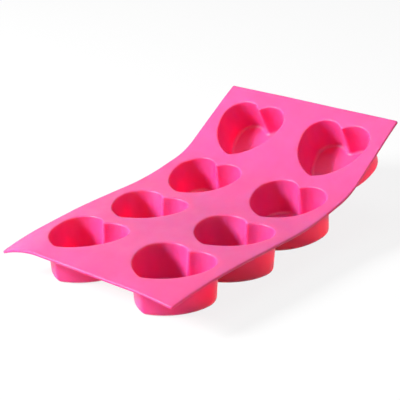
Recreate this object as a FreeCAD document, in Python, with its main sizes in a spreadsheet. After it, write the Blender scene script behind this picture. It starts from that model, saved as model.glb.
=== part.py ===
import FreeCAD, Part
import math
import os

import Sketcher
from FreeCAD import Placement, Rotation, Vector

doc = FreeCAD.newDocument("heart_mould")

# Driving dimensions, in millimetres and degrees
SIZES = {
    # the sheet that carries the cups
    "sheet_length": 300,
    "sheet_width": 175,
    "sheet_thickness": 2.4,
    # places of the cups on the sheet: the lobes of the first column from the near edge, and the pitches
    "first_column": 57,
    "column_pitch": 70,
    "row_pitch": 88,
    # the heart outline of a cup's mouth
    "lobe_radius": 17.8,
    "lobe_offset": 13.8,
    "side_radius": 44.5,
    "tip_reach": 41,
    "tip_radius": 3.4,
    "cleft_radius": 1.4,
    # the cup below its mouth
    "cup_depth": 32.5,
    "side_wall": 1.6,
    "base_wall": 1.8,
    "draft_angle": 3.8,
    "outer_cleft_radius": 0.7,
    "outer_base_bevel": 2.6,
    "inner_base_bevel": 1.2,
    "bevel_angle": 45,
    # how much taller than the sheet the cups are made, before they are trimmed to its bent face
    "cup_lift": 5,
    # how the soft sheet lies: its slope at the first column, and its bends, each with its turn and its
    # length along the sheet, the middle three with their distance past the lobes of their column
    "start_slope": 0.74,
    "near_bend_angle": -12.3,
    "near_bend_length": 24,
    "first_bend_angle": -1.5,
    "first_bend_length": 16,
    "first_bend_distance": 25,
    "second_bend_angle": 11.1,
    "second_bend_length": 47,
    "second_bend_distance": 35,
    "third_bend_angle": 23.4,
    "third_bend_length": 15,
    "third_bend_distance": 20.5,
    "far_bend_angle": -4.5,
    "far_bend_length": 22,
    # how far the near corners hang below the middle of the sheet
    "left_droop": 9.9,
    "right_droop": 2.7,
    "droop_length": 200,
    "level_half_width": 53,
}

sizes = doc.addObject("Spreadsheet::Sheet", "sizes")
for row, (alias, value) in enumerate(SIZES.items(), start=1):
    sizes.set("A%d" % row, alias)
    sizes.set("B%d" % row, str(value))
    sizes.setAlias("B%d" % row, alias)
doc.recompute()


def size(alias):
    return float(sizes.get(alias))


COLUMNS = 4
# the layer that trims the cups reaches this many times as high as they are lifted
TRIM_REACH = 2.5


# The line of the sheet, seen from the side


def stretches():
    """Length and turn of each straight or bent stretch, from the near edge to the far edge."""
    found = [(size("near_bend_length"), size("near_bend_angle"))]
    reached = size("near_bend_length")
    for column, bend in enumerate(("first", "second", "third")):
        lobes = size("first_column") + column * size("column_pitch")
        start = lobes + size(bend + "_bend_distance") - size(bend + "_bend_length") / 2
        found.append((start - reached, 0.0))
        found.append((size(bend + "_bend_length"), size(bend + "_bend_angle")))
        reached = start + size(bend + "_bend_length")
    found.append((size("sheet_length") - size("far_bend_length") - reached, 0.0))
    found.append((size("far_bend_length"), size("far_bend_angle")))
    return found


def follow_sheet(along):
    """Place and slope of the sheet's top face at a distance along it from the near edge."""
    x = z = 0.0
    slope = math.radians(size("start_slope") - size("near_bend_angle"))
    for length, turn in stretches():
        step = min(length, along)
        half_bend = math.radians(turn) * step / length / 2
        chord = step * math.sin(half_bend) / half_bend if half_bend else step
        x += chord * math.cos(slope + half_bend)
        z += chord * math.sin(slope + half_bend)
        slope += 2 * half_bend
        along -= step
    return x, z, slope


def droop(along, across):
    """How far the sheet hangs below its middle line, which grows towards the near corners."""
    reach = size("sheet_width") / 2 - size("level_half_width")
    beyond = max(abs(across) - size("level_half_width"), 0) / reach
    nearness = max(1 - along / size("droop_length"), 0)
    side = size("left_droop") if across > 0 else size("right_droop")
    return side * (beyond * nearness) ** 2


def sheet_layer(low, high):
    """The solid between two levels that follow the bent sheet, measured up from its top face."""
    length_steps = 40
    width_steps = 14
    faces = []
    for level in (low, high):
        grid = []
        for i in range(length_steps + 1):
            along = size("sheet_length") * i / length_steps
            x, z, slope = follow_sheet(along)
            line = []
            for j in range(width_steps + 1):
                across = size("sheet_width") * (j / width_steps - 0.5)
                rise = level - droop(along, across)
                line.append(Vector(x - rise * math.sin(slope), across, z + rise * math.cos(slope)))
            grid.append(line)
        surface = Part.BSplineSurface()
        surface.interpolate(grid)
        faces.append(surface.toShape())
    lower, upper = faces
    rims = [Part.makeRuledSurface(a, b) for a, b in zip(lower.Edges, upper.Edges)]
    shell = Part.makeShell(faces + rims)
    shell.sewShape()
    return Part.makeSolid(shell)


# One cup, lying flat: the solid of its outside and the solid of its hollow


def heart_sketch(body, cleft, wall):
    """A heart of six arcs, each tangent to the next, on the level where the cups are trimmed off."""
    sketch = body.newObject("Sketcher::SketchObject", body.Name + "_heart")
    plane = next(f for f in body.Origin.OriginFeatures if f.Role == "XY_Plane")
    sketch.AttachmentSupport = [(plane, "")]
    sketch.MapMode = "FlatFace"
    sketch.setExpression("AttachmentOffset.Base.z", "sizes.cup_lift")

    # a first layout by formula, which the dimensions below then hold
    flare = size("cup_lift") * math.tan(math.radians(size("draft_angle")))
    growth = flare + size("side_wall") if wall else flare
    lobe = size("lobe_radius") + growth
    side = size("side_radius") + growth
    tip = size("tip_radius") + growth
    nose = size(cleft) - flare
    lobe_at = Vector(0, size("lobe_offset"), 0)
    tip_at = Vector(size("tip_radius") - size("tip_reach"), 0, 0)
    nose_at = Vector(math.sqrt((lobe + nose) ** 2 - lobe_at.y ** 2), 0, 0)
    apart = tip_at.distanceToPoint(lobe_at)
    along = ((side - lobe) ** 2 - (side - tip) ** 2 + apart ** 2) / (2 * apart)
    aside = math.sqrt((side - lobe) ** 2 - along ** 2)
    line = (tip_at - lobe_at).normalize()
    side_at = lobe_at + line * along + Vector(-line.y, line.x, 0) * aside

    def angle(start, end):
        return math.atan2(end.y - start.y, end.x - start.x)

    lobe_start = angle(lobe_at, nose_at)
    lobe_end = angle(side_at, lobe_at)
    side_end = angle(side_at, tip_at) % (2 * math.pi)
    nose_start = angle(nose_at, lobe_at)
    flip = Vector(side_at.x, -side_at.y, 0)
    for centre, radius, start, end in (
        (lobe_at, lobe, lobe_start, lobe_end),
        (side_at, side, lobe_end, side_end),
        (tip_at, tip, side_end, 2 * math.pi - side_end),
        (flip, side, -side_end, -lobe_end),
        (-lobe_at, lobe, -lobe_end, -lobe_start),
        (nose_at, nose, nose_start, 2 * math.pi - nose_start),
    ):
        circle = Part.Circle(centre, Vector(0, 0, 1), radius)
        sketch.addGeometry(Part.ArcOfCircle(circle, start, end))
    left_lobe, left_side, tip_arc, right_side, right_lobe, cleft_arc = range(6)
    start, end, centre = 1, 2, 3
    for one, one_end, other, other_end in (
        (left_lobe, end, left_side, start),
        (left_side, end, tip_arc, start),
        (tip_arc, end, right_side, start),
        (right_side, end, right_lobe, start),
        (right_lobe, end, cleft_arc, end),
        (cleft_arc, start, left_lobe, start),
    ):
        sketch.addConstraint(Sketcher.Constraint("Tangent", one, one_end, other, other_end))
    x_axis, y_axis = -1, -2
    for arc, axis in ((left_lobe, y_axis), (right_lobe, y_axis), (tip_arc, x_axis)):
        sketch.addConstraint(Sketcher.Constraint("PointOnObject", arc, centre, axis))
    sketch.addConstraint(Sketcher.Constraint("Equal", left_lobe, right_lobe))
    sketch.addConstraint(Sketcher.Constraint("Equal", left_side, right_side))

    # the dimensions, each held by the sheet of sizes
    flared = "sizes.cup_lift * tan(sizes.draft_angle)"
    grown = " + sizes.side_wall + " + flared if wall else " + " + flared
    for name, constraint, expression in (
        ("left_lobe_offset", ("DistanceY", -1, 1, left_lobe, centre, lobe_at.y), "sizes.lobe_offset"),
        ("right_lobe_offset", ("DistanceY", right_lobe, centre, -1, 1, lobe_at.y), "sizes.lobe_offset"),
        ("tip_offset", ("DistanceX", tip_arc, centre, -1, 1, -tip_at.x), "sizes.tip_reach - sizes.tip_radius"),
        ("lobe", ("Radius", left_lobe, lobe), "sizes.lobe_radius" + grown),
        ("side", ("Radius", left_side, side), "sizes.side_radius" + grown),
        ("tip", ("Radius", tip_arc, tip), "sizes.tip_radius" + grown),
        ("cleft", ("Radius", cleft_arc, nose), "sizes.%s - %s" % (cleft, flared)),
    ):
        index = sketch.addConstraint(Sketcher.Constraint(*constraint))
        sketch.renameConstraint(index, name)
        sketch.setExpression("Constraints." + name, expression)
    return sketch


def cup_body(name, cleft, wall, depth, bevel):
    """A drafted heart with a bevelled base, standing where the left row's cup is in its column."""
    body = doc.addObject("PartDesign::Body", name)
    body.setExpression("Placement.Base.x", "(sizes.tip_reach - sizes.lobe_radius) / 2")
    body.setExpression("Placement.Base.y", "sizes.row_pitch / 2")
    sketch = heart_sketch(body, cleft, wall)
    pad = body.newObject("PartDesign::Pad", name + "_pad")
    pad.Profile = sketch
    pad.Reversed = True
    pad.setExpression("Length", "sizes.cup_lift + %s - sizes.%s" % (depth, bevel))
    pad.setExpression("TaperAngle", "-sizes.draft_angle")
    doc.recompute()
    lowest = min(range(len(pad.Shape.Faces)), key=lambda i: pad.Shape.Faces[i].CenterOfMass.z)
    base = body.newObject("PartDesign::Pad", name + "_base")
    base.Profile = (pad, ["Face%d" % (lowest + 1)])
    base.setExpression("Length", "sizes." + bevel)
    base.setExpression("TaperAngle", "-sizes.bevel_angle")
    body.Tip = base
    doc.recompute()
    return body


outside = cup_body("outside", "outer_cleft_radius", True, "sizes.cup_depth", "outer_base_bevel")
hollow = cup_body("hollow", "cleft_radius", False, "sizes.cup_depth - sizes.base_wall", "inner_base_bevel")


def pair(cup):
    """The cup and its mirror image in the other row."""
    other = doc.addObject("Part::Mirroring", cup.Name + "_other_row")
    other.Source = cup
    other.Normal = Vector(0, 1, 0)
    return [cup, other]


def all_cups(cup):
    """Every column's pair of cups, each column square to the sheet at the middle of its hearts."""
    both_rows = pair(cup)
    to_middle = (size("tip_reach") - size("lobe_radius")) / 2
    columns = []
    for column in range(COLUMNS):
        along = size("first_column") + column * size("column_pitch") - to_middle
        x, z, slope = follow_sheet(along)
        standing = doc.addObject("Part::Compound", "%s_column_%d" % (cup.Name, column + 1))
        standing.Links = both_rows
        standing.Placement = Placement(Vector(x, 0, z), Rotation(Vector(0, -1, 0), math.degrees(slope)))
        columns.append(standing)
    cups = doc.addObject("Part::Compound", cup.Name + "_of_all_cups")
    cups.Links = columns
    return cups


# The mould: the cups trimmed to the middle of the bent sheet, joined to it and hollowed out

above = doc.addObject("Part::Feature", "above_sheet")
above.Shape = sheet_layer(-size("sheet_thickness") / 2, TRIM_REACH * size("cup_lift"))

sheet = doc.addObject("Part::Feature", "sheet")
sheet.Shape = sheet_layer(-size("sheet_thickness"), 0)

trimmed = doc.addObject("Part::Cut", "trimmed_cups")
trimmed.Base = all_cups(outside)
trimmed.Tool = above

joined = doc.addObject("Part::MultiFuse", "sheet_and_cups")
joined.Shapes = [sheet, trimmed]

mould = doc.addObject("Part::Cut", "mould")
mould.Label = "heart_mould"
mould.Base = joined
mould.Tool = all_cups(hollow)
doc.recompute()

# It stands on its lowest cups, with the origin under the middle of its box
box = mould.Shape.BoundBox
mould.Placement = Placement(Vector(-box.Center.x, -box.Center.y, -box.ZMin), Rotation())
doc.recompute()

for made in doc.Objects:
    if "Invalid" in made.State or "Error" in made.State:
        raise RuntimeError("%s could not be made" % made.Name)
if mould.Shape.isNull() or not mould.Shape.isValid() or len(mould.Shape.Solids) != 1:
    raise RuntimeError("the mould is not one sound solid")

os.makedirs("parts", exist_ok=True)
mould.Shape.exportStep("parts/%s.step" % mould.Label)
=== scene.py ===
import math

import bmesh
import bpy
from mathutils import Matrix, Vector, noise


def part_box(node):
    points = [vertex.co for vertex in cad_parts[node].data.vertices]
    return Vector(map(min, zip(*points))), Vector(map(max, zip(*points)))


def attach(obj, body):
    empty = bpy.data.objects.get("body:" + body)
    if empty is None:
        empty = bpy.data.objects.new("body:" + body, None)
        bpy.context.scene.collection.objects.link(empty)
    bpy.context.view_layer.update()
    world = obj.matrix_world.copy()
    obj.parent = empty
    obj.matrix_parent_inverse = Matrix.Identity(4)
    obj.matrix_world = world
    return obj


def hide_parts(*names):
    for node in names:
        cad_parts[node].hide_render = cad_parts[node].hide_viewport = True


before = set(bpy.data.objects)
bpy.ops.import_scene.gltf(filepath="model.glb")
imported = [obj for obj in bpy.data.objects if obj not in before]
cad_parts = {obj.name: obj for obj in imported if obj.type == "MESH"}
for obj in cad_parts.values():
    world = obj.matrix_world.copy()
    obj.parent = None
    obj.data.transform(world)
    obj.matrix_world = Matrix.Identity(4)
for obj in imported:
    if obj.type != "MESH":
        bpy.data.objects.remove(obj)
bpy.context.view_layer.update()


# The mould: one sheet of soft silicone with two rows of four heart cups, moulded in one piece.
# It is drawn flat, as it leaves its tool, as a top skin and an under skin that meet at the rim,
# and is then laid in the curve that it takes on its cups, with its far end curling up.

SHEET_LENGTH = 0.300
SHEET_WIDTH = 0.175
SHEET_THICKNESS = 0.0024
SHEET_CORNER = 0.0014
SHEET_EDGE = 0.0007

# the hearts lie along the sheet, with their tips to the near end
FIRST_LOBES = 0.057
COLUMN_PITCH = 0.070
ROW_PITCH = 0.088
COLUMNS = 4

LOBE_RADIUS = 0.0178
LOBE_OFFSET = 0.0138
SIDE_RADIUS = 0.0445
TIP_REACH = 0.0404
TIP_RADIUS = 0.0056
MIDDLE_TO_LOBES = (TIP_REACH - LOBE_RADIUS) / 2

CUP_DEPTH = 0.0325
SIDE_WALL = 0.0016
BASE_WALL = 0.0018
DRAFT = math.tan(math.radians(3.8))
LIP_RADIUS = 0.0012
ROOT_RADIUS = 0.0010
LIP_CLEFT = 0.0003
ROOT_CLEFT = 0.0002
INNER_BASE_RADIUS = 0.003
OUTER_BASE_RADIUS = 0.0044
BASE_RIM = 0.0015

# Steps of half a heart's outline. A lobe and a side each have two stretches, parted at the place
# that faces a corner of the cup's piece of sheet, so that the piece's edges have as many steps.
CLEFT_STEPS = 2
LOBE_STEPS = (16, 12)
SIDE_STEPS = (16, 12)
TIP_STEPS = 6
LOBE_PARTED_AT = math.radians(48)
SIDE_PARTED_AT = 0.6
EDGE_STEPS_ACROSS = 2 * (CLEFT_STEPS + LOBE_STEPS[0])
EDGE_STEPS_ALONG = LOBE_STEPS[1] + SIDE_STEPS[0]
SHEET_RINGS = 5

MIRROR_GAP = 1e-6
SAME_PLACE = 1e-5
SHORTEST_RING_STEP = 0.00005


def heading(start, end):
    return math.atan2(end.y - start.y, end.x - start.x)


def heart(bm, level, growth, cleft):
    """A heart's outline: tangent arcs spun from the cleft to the tip, and their mirror image."""
    lobe = LOBE_RADIUS + growth
    side = SIDE_RADIUS + growth
    tip = TIP_RADIUS + growth
    lobe_at = Vector((0, LOBE_OFFSET, level))
    tip_at = Vector((TIP_RADIUS - TIP_REACH, 0, level))
    cleft_at = Vector((math.sqrt((lobe + cleft) ** 2 - LOBE_OFFSET ** 2), 0, level))

    # the side's arc holds both the lobe's and the tip's
    line = tip_at - lobe_at
    along = ((side - lobe) ** 2 - (side - tip) ** 2 + line.length_squared) / (2 * line.length)
    aside = math.sqrt((side - lobe) ** 2 - along ** 2)
    line.normalize()
    side_at = lobe_at + line * along + Vector((-line.y, line.x, 0)) * aside

    lobe_start = heading(lobe_at, cleft_at)
    lobe_end = heading(side_at, lobe_at)
    side_end = heading(side_at, tip_at) % math.tau
    to_corner = LOBE_PARTED_AT - lobe_start
    side_turn = side_end - lobe_end
    others = set(bm.edges)
    start = cleft_at - Vector((cleft, 0, 0))
    last = bmesh.ops.create_vert(bm, co=start)["vert"][0]
    for centre, turn, steps in (
        (cleft_at, heading(cleft_at, lobe_at) - math.pi, CLEFT_STEPS),
        (lobe_at, to_corner, LOBE_STEPS[0]),
        (lobe_at, lobe_end - lobe_start - to_corner, LOBE_STEPS[1]),
        (side_at, side_turn * SIDE_PARTED_AT, SIDE_STEPS[0]),
        (side_at, side_turn * (1 - SIDE_PARTED_AT), SIDE_STEPS[1]),
        (tip_at, math.pi - side_end, TIP_STEPS),
    ):
        made = bmesh.ops.spin(
            bm, geom=[last], cent=centre, axis=(0, 0, 1), angle=turn, steps=steps
        )
        last = next(v for v in made["geom_last"] if isinstance(v, bmesh.types.BMVert))
    half = [e for e in bm.edges if e not in others]
    points = list({v for e in half for v in e.verts})
    bmesh.ops.mirror(bm, geom=points + half, axis="Y", merge_dist=MIRROR_GAP)
    return [e for e in bm.edges if e not in others]


def border(bm, level):
    """The edge of the piece of sheet that one cup has to itself, in even steps."""
    near = -MIDDLE_TO_LOBES - COLUMN_PITCH / 2
    far = -MIDDLE_TO_LOBES + COLUMN_PITCH / 2
    inner = -ROW_PITCH / 2
    outer = SHEET_WIDTH / 2 - ROW_PITCH / 2
    round_it = ((near, inner), (far, inner), (far, outer), (near, outer))
    corners = [bm.verts.new((x, y, level)) for x, y in round_it]
    edges = [bm.edges.new((corners[i - 1], corners[i])) for i in range(4)]
    along = [e for e in edges if abs(e.verts[0].co.x - e.verts[1].co.x) > COLUMN_PITCH / 2]
    across = [e for e in edges if e not in along]
    made = []
    for sides, steps in ((along, EDGE_STEPS_ALONG), (across, EDGE_STEPS_ACROSS)):
        split = bmesh.ops.subdivide_edges(bm, edges=sides, cuts=steps - 1)
        made += [e for e in split["geom_split"] if isinstance(e, bmesh.types.BMEdge)]
    return list(set(made))


def skin(bm, level, growth, cleft, profile):
    """One cup's piece of a skin: flat sheet round a heart that sinks by its profile's rings."""
    rim = heart(bm, level, growth, cleft)
    edge = border(bm, level)
    bridged = bmesh.ops.bridge_loops(bm, edges=rim + edge)
    bmesh.ops.subdivide_edges(bm, edges=bridged["edges"], cuts=SHEET_RINGS, use_grid_fill=True)
    face = bmesh.ops.contextual_create(bm, geom=rim)["faces"][0]
    face.normal_update()
    if face.normal.z < 0:
        face.normal_flip()
    inward = down = 0.0
    for reach, depth in profile:
        bmesh.ops.inset_region(
            bm, faces=[face], thickness=reach - inward, depth=down - depth,
            use_even_offset=True, use_boundary=True,
        )
        bmesh.ops.remove_doubles(bm, verts=face.verts, dist=SHORTEST_RING_STEP)
        face = max(bm.faces, key=lambda f: len(f.verts))
        inward, down = reach, depth


def quarter(steps):
    """Sine and one minus cosine of the steps of a quarter turn."""
    for i in range(1, steps + 1):
        turn = math.pi / 2 * i / steps
        yield math.sin(turn), 1 - math.cos(turn)


def cup_profile(start, lip, depth, base_radius, lip_steps=4, wall_steps=6, base_steps=6):
    """How far in and down each ring of a cup is: its lip, drafted wall and rounded base."""
    rings = [(lip * s + lip * c * DRAFT, lip * c) for s, c in quarter(lip_steps)]
    wall_end = depth - start - base_radius
    for i in range(1, wall_steps + 1):
        down = lip + (wall_end - lip) * i / wall_steps
        rings.append((lip + down * DRAFT, down))
    reach = rings[-1][0]
    rings += [
        (reach + base_radius * c, wall_end + base_radius * s) for s, c in quarter(base_steps)
    ]
    rings.append((reach + base_radius + BASE_RIM, wall_end + base_radius))
    return rings


bm = bmesh.new()
skin(
    bm, 0, LIP_RADIUS, LIP_CLEFT,
    cup_profile(0, LIP_RADIUS, CUP_DEPTH - BASE_WALL, INNER_BASE_RADIUS),
)
skin(
    bm, -SHEET_THICKNESS, SIDE_WALL + ROOT_RADIUS - SHEET_THICKNESS * DRAFT, ROOT_CLEFT,
    cup_profile(SHEET_THICKNESS, ROOT_RADIUS, CUP_DEPTH, OUTER_BASE_RADIUS),
)

# the other columns and the other row
first_cup = list(bm.verts) + list(bm.edges) + list(bm.faces)
bmesh.ops.translate(bm, verts=bm.verts, vec=(FIRST_LOBES, ROW_PITCH / 2, 0))
for column in range(1, COLUMNS):
    copy = bmesh.ops.duplicate(bm, geom=first_cup)["geom"]
    moved = [v for v in copy if isinstance(v, bmesh.types.BMVert)]
    bmesh.ops.translate(bm, verts=moved, vec=(column * COLUMN_PITCH, 0, 0))
one_row = list(bm.verts) + list(bm.edges) + list(bm.faces)
bmesh.ops.mirror(bm, geom=one_row, axis="Y", merge_dist=MIRROR_GAP)
bmesh.ops.remove_doubles(bm, verts=bm.verts, dist=SAME_PLACE)

# the plain margins past the first and the last column
MARGIN_STEPS = 4
cups_start = FIRST_LOBES - MIDDLE_TO_LOBES - COLUMN_PITCH / 2
cups_end = cups_start + COLUMNS * COLUMN_PITCH
for end, here in ((0, cups_start), (SHEET_LENGTH, cups_end)):
    edges = [
        e for e in bm.edges
        if e.is_boundary and all(abs(v.co.x - here) < SAME_PLACE for v in e.verts)
    ]
    for step in range(MARGIN_STEPS):
        made = bmesh.ops.extrude_edge_only(bm, edges=edges)["geom"]
        edges = [e for e in made if isinstance(e, bmesh.types.BMEdge) and e.is_boundary]
        verts = list({v for e in edges for v in e.verts})
        bmesh.ops.translate(bm, verts=verts, vec=((end - here) / MARGIN_STEPS, 0, 0))
        edges = [e for e in edges if abs(e.verts[0].co.x - e.verts[1].co.x) < SAME_PLACE]

# the rim that closes the two skins
open_edges = [e for e in bm.edges if e.is_boundary]
bmesh.ops.bridge_loops(bm, edges=open_edges)
bmesh.ops.recalc_face_normals(bm, faces=bm.faces)


def is_corner(edge):
    """Whether this is one of the four upright edges at the sheet's corners."""
    a, b = edge.verts
    return abs(a.co.z - b.co.z) > SHEET_THICKNESS / 2 and all(
        min(v.co.x, SHEET_LENGTH - v.co.x) < SAME_PLACE
        and SHEET_WIDTH / 2 - abs(v.co.y) < SAME_PLACE
        for v in edge.verts
    )


def is_rim(edge):
    """Whether this is a sharp edge of the sheet's top or under face."""
    sharpest_kept = 1.2
    return (
        len(edge.link_faces) == 2
        and edge.calc_face_angle() > sharpest_kept
        and all(
            min(abs(v.co.z), abs(v.co.z + SHEET_THICKNESS)) < MIRROR_GAP for v in edge.verts
        )
    )


bmesh.ops.bevel(
    bm, geom=[e for e in bm.edges if is_corner(e)], offset=SHEET_CORNER, offset_type="OFFSET",
    affect="EDGES", segments=4, profile=0.5, material=-1,
)
bmesh.ops.bevel(
    bm, geom=[e for e in bm.edges if is_rim(e)], offset=SHEET_EDGE, offset_type="OFFSET",
    affect="EDGES", segments=3, profile=0.5, material=-1,
)

# How the soft sheet lies, from the near edge to the far one: straight stretches and bends, each
# with its length and its turn, and the near corners that hang below the middle.
NEAR_SLOPE = math.radians(7.4)
LIE = (
    (0.0440, math.radians(-6.7)),
    (0.0300, 0.0),
    (0.0160, math.radians(-1.5)),
    (0.0485, 0.0),
    (0.0470, math.radians(11.1)),
    (0.0180, 0.0),
    (0.0280, math.radians(23.4)),
    (0.0465, 0.0),
    (0.0220, math.radians(-4.5)),
)
LEFT_DROOP = 0.0099
RIGHT_DROOP = 0.0027
DROOP_LENGTH = 0.170
LEVEL_HALF_WIDTH = 0.048
DROOP_CURVE_ACROSS = 1.7
DROOP_CURVE_ALONG = 2


def follow(along):
    """Place and slope of the middle line of the sheet's top face."""
    x = z = 0.0
    slope = NEAR_SLOPE
    for length, turn in LIE:
        step = min(length, along)
        half = turn * step / length / 2
        chord = step * math.sin(half) / half if half else step
        x += chord * math.cos(slope + half)
        z += chord * math.sin(slope + half)
        slope += 2 * half
        along -= step
    return x, z, slope


def droop(along, across):
    """How far the sheet hangs below its middle line."""
    corner = LEFT_DROOP if across > 0 else RIGHT_DROOP
    beyond = max(abs(across) - LEVEL_HALF_WIDTH, 0) / (SHEET_WIDTH / 2 - LEVEL_HALF_WIDTH)
    nearness = max(1 - along / DROOP_LENGTH, 0)
    return corner * beyond ** DROOP_CURVE_ACROSS * nearness ** DROOP_CURVE_ALONG


columns = []
for column in range(COLUMNS):
    middle = FIRST_LOBES - MIDDLE_TO_LOBES + column * COLUMN_PITCH
    columns.append((middle, *follow(middle)))

# the cups are stiff from a little below the sheet, and the sheet follows its curve
STIFF_FROM = SHEET_THICKNESS + ROOT_RADIUS
STIFF_BY = 0.012
WAVE = 0.0004
WAVE_LENGTH = 0.055

for vert in bm.verts:
    u, v, level = vert.co
    x, z, slope = follow(u)
    wave = WAVE * noise.noise(Vector((u, v, 0)) / WAVE_LENGTH)
    rise = level - droop(u, v) + wave
    soft = Vector((x - rise * math.sin(slope), v, z + rise * math.cos(slope)))
    held = min(max((-level - STIFF_FROM) / (STIFF_BY - STIFF_FROM), 0), 1)
    held = held * held * (3 - 2 * held)
    middle, x, z, slope = min(columns, key=lambda c: abs(c[0] - u))
    u -= middle
    stiff = Vector((
        x + u * math.cos(slope) - level * math.sin(slope),
        v,
        z + u * math.sin(slope) + level * math.cos(slope),
    ))
    vert.co = soft.lerp(stiff, held)

low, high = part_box("heart_mould")
lowest = min(v.co.z for v in bm.verts)
middle = (min(v.co.x for v in bm.verts) + max(v.co.x for v in bm.verts)) / 2
bmesh.ops.translate(
    bm, verts=bm.verts, vec=((low.x + high.x) / 2 - middle, 0, low.z - lowest)
)

mesh = bpy.data.meshes.new("silicone_mould")
bm.to_mesh(mesh)
bm.free()
mesh.shade_smooth()
mould = bpy.data.objects.new("silicone_mould", mesh)
bpy.context.collection.objects.link(mould)

# satin pink silicone: red light passes through its thin walls, blue and green stay at the surface
silicone = bpy.data.materials.new("pink_silicone")
silicone.use_nodes = True
nodes, links = silicone.node_tree.nodes, silicone.node_tree.links
shader = nodes["Principled BSDF"]
shader.inputs["Subsurface Weight"].default_value = 1.0
shader.inputs["Subsurface Radius"].default_value = (1.0, 0.05, 0.1)
shader.inputs["Subsurface Scale"].default_value = 0.008
place = nodes.new("ShaderNodeTexCoord")

# the pigment lies a little thicker in some places than in others
cloud = nodes.new("ShaderNodeTexNoise")
cloud.inputs["Scale"].default_value = 28
cloud.inputs["Detail"].default_value = 4
cloud.inputs["Roughness"].default_value = 0.55
pigment = nodes.new("ShaderNodeValToRGB")
pigment.color_ramp.elements[0].position = 0.3
pigment.color_ramp.elements[0].color = (0.985, 0.054, 0.280, 1)
pigment.color_ramp.elements[1].position = 0.7
pigment.color_ramp.elements[1].color = (0.995, 0.072, 0.318, 1)
links.new(place.outputs["Object"], cloud.inputs["Vector"])
links.new(cloud.outputs["Fac"], pigment.inputs["Fac"])
links.new(pigment.outputs["Color"], shader.inputs["Base Color"])

# handling leaves the satin a little glossier in patches
patches = nodes.new("ShaderNodeTexNoise")
patches.inputs["Scale"].default_value = 75
patches.inputs["Detail"].default_value = 5
patches.inputs["Roughness"].default_value = 0.6
satin = nodes.new("ShaderNodeMapRange")
satin.inputs["From Min"].default_value = 0.3
satin.inputs["From Max"].default_value = 0.7
satin.inputs["To Min"].default_value = 0.37
satin.inputs["To Max"].default_value = 0.49
links.new(place.outputs["Object"], patches.inputs["Vector"])
links.new(patches.outputs["Fac"], satin.inputs["Value"])
links.new(satin.outputs["Result"], shader.inputs["Roughness"])

# the fine grain of the blasted steel tool, over the slow unevenness of a soft sheet
grain = nodes.new("ShaderNodeTexNoise")
grain.inputs["Scale"].default_value = 1400
grain.inputs["Detail"].default_value = 2
grain_bump = nodes.new("ShaderNodeBump")
grain_bump.inputs["Strength"].default_value = 0.35
grain_bump.inputs["Distance"].default_value = 0.00006
uneven = nodes.new("ShaderNodeTexNoise")
uneven.inputs["Scale"].default_value = 60
uneven.inputs["Detail"].default_value = 1
uneven_bump = nodes.new("ShaderNodeBump")
uneven_bump.inputs["Strength"].default_value = 0.3
uneven_bump.inputs["Distance"].default_value = 0.0006
links.new(place.outputs["Object"], grain.inputs["Vector"])
links.new(place.outputs["Object"], uneven.inputs["Vector"])
links.new(uneven.outputs["Fac"], uneven_bump.inputs["Height"])
links.new(grain.outputs["Fac"], grain_bump.inputs["Height"])
links.new(uneven_bump.outputs["Normal"], grain_bump.inputs["Normal"])
links.new(grain_bump.outputs["Normal"], shader.inputs["Normal"])
mould.data.materials.append(silicone)

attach(mould, "root")
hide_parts("heart_mould")


# The table that the mould stands on: a sheet of white paper, plain and bare to the horizon.
# It throws some of the light back on the cups, and keeps the mould's faint shadow.

TABLE_HALF_WIDTH = 6
PAPER_BOUNCE = 0.65
PLAIN_WHITE = 0.85

bm = bmesh.new()
bmesh.ops.create_grid(bm, x_segments=1, y_segments=1, size=TABLE_HALF_WIDTH)
mesh = bpy.data.meshes.new("table")
bm.to_mesh(mesh)
bm.free()
table = bpy.data.objects.new("table", mesh)
bpy.context.collection.objects.link(table)


def seen(nodes, links):
    """1 on rays from the camera, also once they are mirrored or let through, and 0 on others."""
    path = nodes.new("ShaderNodeLightPath")
    view = path.outputs["Is Camera Ray"]
    for kind in ("Is Glossy Ray", "Is Transmission Ray"):
        either = nodes.new("ShaderNodeMath")
        either.operation = "MAXIMUM"
        links.new(view, either.inputs[0])
        links.new(path.outputs[kind], either.inputs[1])
        view = either.outputs["Value"]
    return view


# where it is seen, the paper is mostly a plain white, which leaves the shadow faint
paper = bpy.data.materials.new("white_paper")
paper.use_nodes = True
nodes, links = paper.node_tree.nodes, paper.node_tree.links
shader = nodes["Principled BSDF"]
shader.inputs["Roughness"].default_value = 0.9
shader.inputs["Specular IOR Level"].default_value = 0.0
white = nodes.new("ShaderNodeEmission")
view = seen(nodes, links)
share = nodes.new("ShaderNodeMath")
share.operation = "MULTIPLY"
share.inputs[1].default_value = PLAIN_WHITE
blend = nodes.new("ShaderNodeMixShader")
tone = nodes.new("ShaderNodeMix")
tone.data_type = "RGBA"
tone.inputs["A"].default_value = (PAPER_BOUNCE, PAPER_BOUNCE, PAPER_BOUNCE, 1)
tone.inputs["B"].default_value = (1, 1, 1, 1)
links.new(view, tone.inputs["Factor"])
links.new(tone.outputs["Result"], shader.inputs["Base Color"])
links.new(view, share.inputs[0])
links.new(share.outputs["Value"], blend.inputs["Fac"])
links.new(shader.outputs["BSDF"], blend.inputs[1])
links.new(white.outputs["Emission"], blend.inputs[2])
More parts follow.
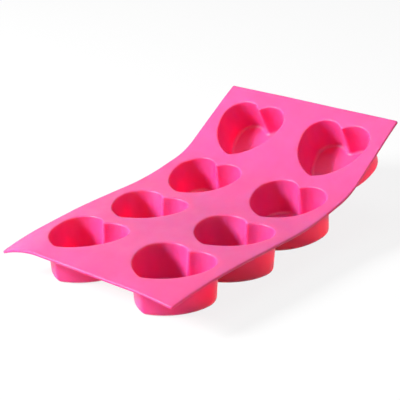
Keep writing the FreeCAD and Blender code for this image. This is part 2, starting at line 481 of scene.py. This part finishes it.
links.new(blend.outputs["Shader"], nodes["Material Output"].inputs["Surface"])
table.data.materials.append(paper)


# The light: a plain room, whose walls look white and throw only a dim light on the mould, with
# one large softbox low on the left and a weaker one overhead.

ROOM_GLOW = 0.12
ROOM_WHITE = 1.0
SOFTBOXES = (
    ("key", (-1.38, 1.12, 1.05), 0.6, 75),
    ("overhead", (0.0, 0.0, 1.6), 1.0, 4),
)

world = bpy.data.worlds.new("room")
bpy.context.scene.world = world
world.use_nodes = True
nodes, links = world.node_tree.nodes, world.node_tree.links
room = nodes["Background"]
room.inputs["Color"].default_value = (1, 1, 1, 1)
strength = nodes.new("ShaderNodeMapRange")
strength.inputs["To Min"].default_value = ROOM_GLOW
strength.inputs["To Max"].default_value = ROOM_WHITE
links.new(seen(nodes, links), strength.inputs["Value"])
links.new(strength.outputs["Result"], room.inputs["Strength"])

for name, at, size, power in SOFTBOXES:
    lamp = bpy.data.lights.new(name, "AREA")
    lamp.shape = "DISK"
    lamp.size = size
    lamp.energy = power
    softbox = bpy.data.objects.new(name, lamp)
    softbox.location = at
    softbox.rotation_euler = (-softbox.location).to_track_quat("-Z", "Y").to_euler()
    bpy.context.collection.objects.link(softbox)


# The camera: a long lens from the near right corner, a little above the mould, at the place
# and turn that lay the sheet's corners and the hearts where the photograph has them.

CAMERA_AT = (-0.691454, -0.581897, 0.397886)
CAMERA_RIGHT = Vector((0.64517, -0.76391, -0.01427))
CAMERA_UP = Vector((0.29025, 0.22777, 0.92945))
CAMERA_AHEAD = Vector((0.70676, 0.60380, -0.36867))

camera_data = bpy.data.cameras.new("camera")
camera_data.sensor_width = 36
camera_data.lens = 108.62
camera_data.clip_start = 0.05
camera_data.clip_end = 50
camera = bpy.data.objects.new("camera", camera_data)
turn = Matrix((CAMERA_RIGHT, CAMERA_UP, -CAMERA_AHEAD)).transposed().to_4x4()
camera.matrix_world = Matrix.Translation(CAMERA_AT) @ turn
bpy.context.collection.objects.link(camera)
bpy.context.scene.camera = camera
bpy.context.scene.view_settings.view_transform = "Standard"
